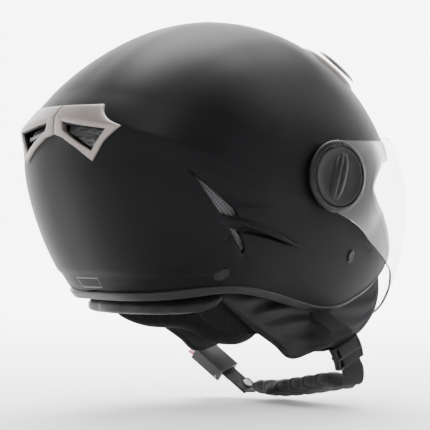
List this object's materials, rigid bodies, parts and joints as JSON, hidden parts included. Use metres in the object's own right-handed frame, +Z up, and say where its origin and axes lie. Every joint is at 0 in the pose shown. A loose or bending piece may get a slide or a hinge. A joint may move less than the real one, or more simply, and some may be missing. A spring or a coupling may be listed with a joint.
{
  "type": "open face motorcycle helmet",
  "caption": "Open face helmet with a tilting clear visor on side knobs, top sliders, rear and side vents, padded lining and a ratchet buckle chin strap.",
  "frame": {"origin": "on the mirror plane, straight below the crown, level with the visor pivots", "axes": "+Z up through the crown, +Y to the rear, -Y the way the wearer faces, -X the wearer's right"},
  "size_m": [0.2658, 0.3273, 0.3186],
  "materials": {
    "shell": "satin",
    "foam": "matte",
    "lining": "matte",
    "leatherette": "satin",
    "rubber": "matte",
    "champagne": "satin",
    "mesh": "matte",
    "plastic": "satin",
    "visor": "polished",
    "webbing": "matte",
    "steel": "satin",
    "grey": "satin",
    "red": "satin"
  },
  "bodies": {
    "helmet": {"outer_shell": "shell", "foam_liner": "foam", "crown_liner": "lining", "cheek_pad_right": "lining", "cheek_pad_left": "lining", "cheek_apron_right": "leatherette", "cheek_apron_left": "leatherette", "neck_roll": "leatherette", "edge_beading": "rubber", "rear_vent_frame": "champagne", "rear_vent_mesh_right": "mesh", "rear_vent_mesh_left": "mesh", "rear_vent_slat_right": "plastic", "rear_vent_slat_left": "plastic", "side_vent_mesh_right": "mesh", "side_vent_mesh_left": "mesh", "side_vent_fin_right": "shell", "side_vent_fin_left": "shell", "top_vent_base_right": "champagne", "top_vent_base_left": "champagne", "label_plate": "grey", "strap_anchor_right": "plastic", "strap_anchor_left": "plastic", "lining_rivet_right": "plastic", "lining_rivet_left": "plastic", "pivot_base_right": "plastic", "pivot_base_left": "plastic", "pivot_screw_right": "steel", "pivot_screw_left": "steel", "pivot_nut_right": "steel", "pivot_nut_left": "steel", "strap_right": "webbing", "strap_pad": "lining", "strap_left": "webbing", "buckle_housing": "grey", "lever_pin": "steel", "lever_spring": "steel"},
    "visor": {"visor": "visor", "visor_ring_right": "plastic", "visor_ring_left": "plastic"},
    "pivot_knob_right": {"pivot_knob_right": "plastic"},
    "pivot_knob_left": {"pivot_knob_left": "plastic"},
    "top_vent_slider_right": {"top_vent_slider_right": "plastic"},
    "top_vent_slider_left": {"top_vent_slider_left": "plastic"},
    "buckle_lever": {"buckle_lever": "red"},
    "buckle_tongue": {"buckle_tongue": "plastic", "tongue_eyelet": "steel", "strap_tail": "webbing"},
    "strap_adjuster": {"strap_adjuster": "plastic"}
  },
  "joints": [
    {"name": "visor_tilt", "type": "hinge", "parent": "helmet", "child": "visor", "pos_m": [0, -0.033, -0.005], "axis": [-1, 0, 0], "range_deg": [0, 55]},
    {"name": "knob_turn_right", "type": "hinge", "parent": "helmet", "child": "pivot_knob_right", "pos_m": [0, -0.033, -0.005], "axis": [-1, 0, 0], "range_deg": [0, 90]},
    {"name": "knob_turn_left", "type": "hinge", "parent": "helmet", "child": "pivot_knob_left", "pos_m": [0, -0.033, -0.005], "axis": [1, 0, 0], "range_deg": [0, 90]},
    {"name": "vent_slide_right", "type": "slide", "parent": "helmet", "child": "top_vent_slider_right", "axis": [-0.4266, -0.4794, -0.7669], "range_m": [-0.008, 0.008]},
    {"name": "vent_slide_left", "type": "slide", "parent": "helmet", "child": "top_vent_slider_left", "axis": [0.4266, -0.4794, -0.7669], "range_m": [-0.008, 0.008]},
    {"name": "lever_lift", "type": "hinge", "parent": "helmet", "child": "buckle_lever", "pos_m": [0.0737, -0.0713, -0.17383], "axis": [-0.2893, 0.9208, -0.2618], "range_deg": [0, 20], "stiffness_Nm_per_rad": 0.03},
    {"name": "tongue_ratchet", "type": "slide", "parent": "helmet", "child": "buckle_tongue", "axis": [0.6828, 0.3902, 0.6177], "range_m": [0, 0.008]},
    {"name": "adjuster_slide", "type": "slide", "parent": "helmet", "child": "strap_adjuster", "axis": [0.0635, -0.4319, -0.8997], "range_m": [0, 0.006]}
  ]
}
